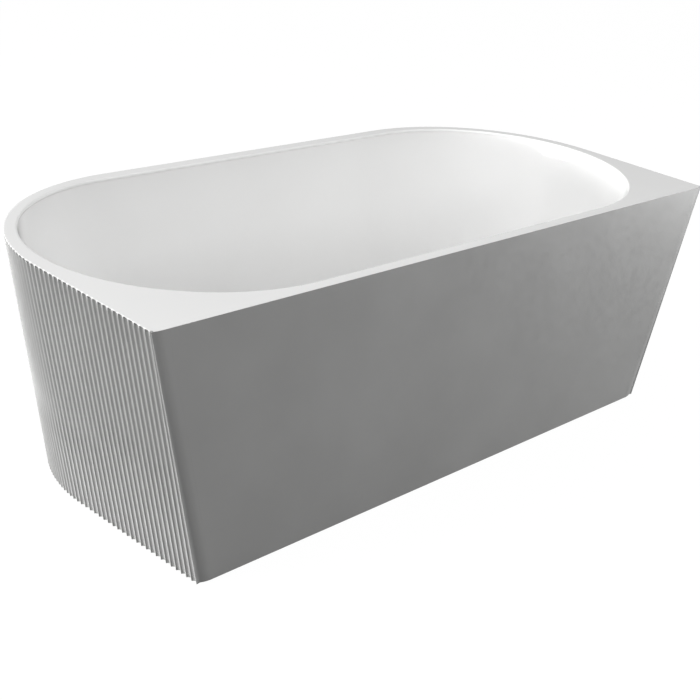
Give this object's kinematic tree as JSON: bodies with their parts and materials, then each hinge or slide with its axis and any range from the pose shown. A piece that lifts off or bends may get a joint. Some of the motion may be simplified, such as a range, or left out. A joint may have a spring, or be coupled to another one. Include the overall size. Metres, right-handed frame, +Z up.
{
  "type": "back-to-wall bathtub",
  "caption": "Freestanding back-to-wall bath: oval basin in a D-shaped deck, fluted skirt wrapping three sides, flat wall side, levelling feet, plug and overflow.",
  "frame": {"origin": "on the floor under the middle of the bath's outline", "axes": "+X along the bath, +Y from the wall side to the rounded front, +Z up"},
  "size_m": [1.7, 0.75, 0.55],
  "materials": {
    "acrylic": "white sanitary acrylic, high gloss",
    "skirt": "mid grey gel coat, satin",
    "plywood": "raw plywood and particle board",
    "zinc_steel": "zinc plated",
    "chrome": "polished chrome plate",
    "black_plastic": "moulded black plastic",
    "white_plastic": "moulded white plastic",
    "rubber": "black sealing rubber"
  },
  "bodies": {
    "bath": {"inner_shell": "acrylic", "outer_skirt": "skirt", "back_panel": "skirt", "joint_strap_left": "skirt", "joint_strap_right": "skirt", "deck_gusset_left": "plywood", "deck_gusset_right": "plywood", "panel_rib_left": "plywood", "panel_rib_right": "plywood", "base_board": "plywood", "leg_bar_left": "zinc_steel", "leg_bar_right": "zinc_steel", "leg_bar_centre": "zinc_steel", "foot_nut_upper_1": "zinc_steel", "foot_nut_lower_1": "zinc_steel", "foot_nut_upper_2": "zinc_steel", "foot_nut_lower_2": "zinc_steel", "foot_nut_upper_3": "zinc_steel", "foot_nut_lower_3": "zinc_steel", "foot_nut_upper_4": "zinc_steel", "foot_nut_lower_4": "zinc_steel", "foot_nut_upper_5": "zinc_steel", "foot_nut_lower_5": "zinc_steel", "waste_flange": "chrome", "waste_top_seal": "rubber", "waste_under_seal": "rubber", "waste_body": "white_plastic", "waste_tail_seal": "rubber", "waste_tail": "white_plastic", "waste_tail_nut": "black_plastic", "plug_cartridge": "chrome", "overflow_cover": "chrome", "overflow_face_seal": "rubber", "overflow_back_seal": "rubber", "overflow_body": "white_plastic", "overflow_screw": "chrome", "overflow_nut_upper": "black_plastic", "overflow_nut_lower": "black_plastic", "overflow_pipe": "white_plastic"},
    "plug": {"plug_cap": "chrome", "plug_seal": "rubber", "plug_stem": "chrome"},
    "foot_1": {"foot_pad_1": "black_plastic", "foot_stud_1": "zinc_steel"},
    "foot_2": {"foot_pad_2": "black_plastic", "foot_stud_2": "zinc_steel"},
    "foot_3": {"foot_pad_3": "black_plastic", "foot_stud_3": "zinc_steel"},
    "foot_4": {"foot_pad_4": "black_plastic", "foot_stud_4": "zinc_steel"},
    "foot_5": {"foot_pad_5": "black_plastic", "foot_stud_5": "zinc_steel"}
  },
  "joints": [
    {"name": "plug_slide", "type": "slide", "parent": "bath", "child": "plug", "axis": [0, 0, 1], "range_m": [0, 0.01]},
    {"name": "foot_1_height", "type": "slide", "parent": "bath", "child": "foot_1", "axis": [0, 0, 1], "range_m": [-0.018, 0]},
    {"name": "foot_2_height", "type": "slide", "parent": "bath", "child": "foot_2", "axis": [0, 0, 1], "range_m": [-0.018, 0]},
    {"name": "foot_3_height", "type": "slide", "parent": "bath", "child": "foot_3", "axis": [0, 0, 1], "range_m": [-0.018, 0]},
    {"name": "foot_4_height", "type": "slide", "parent": "bath", "child": "foot_4", "axis": [0, 0, 1], "range_m": [-0.018, 0]},
    {"name": "foot_5_height", "type": "slide", "parent": "bath", "child": "foot_5", "axis": [0, 0, 1], "range_m": [-0.018, 0]}
  ]
}
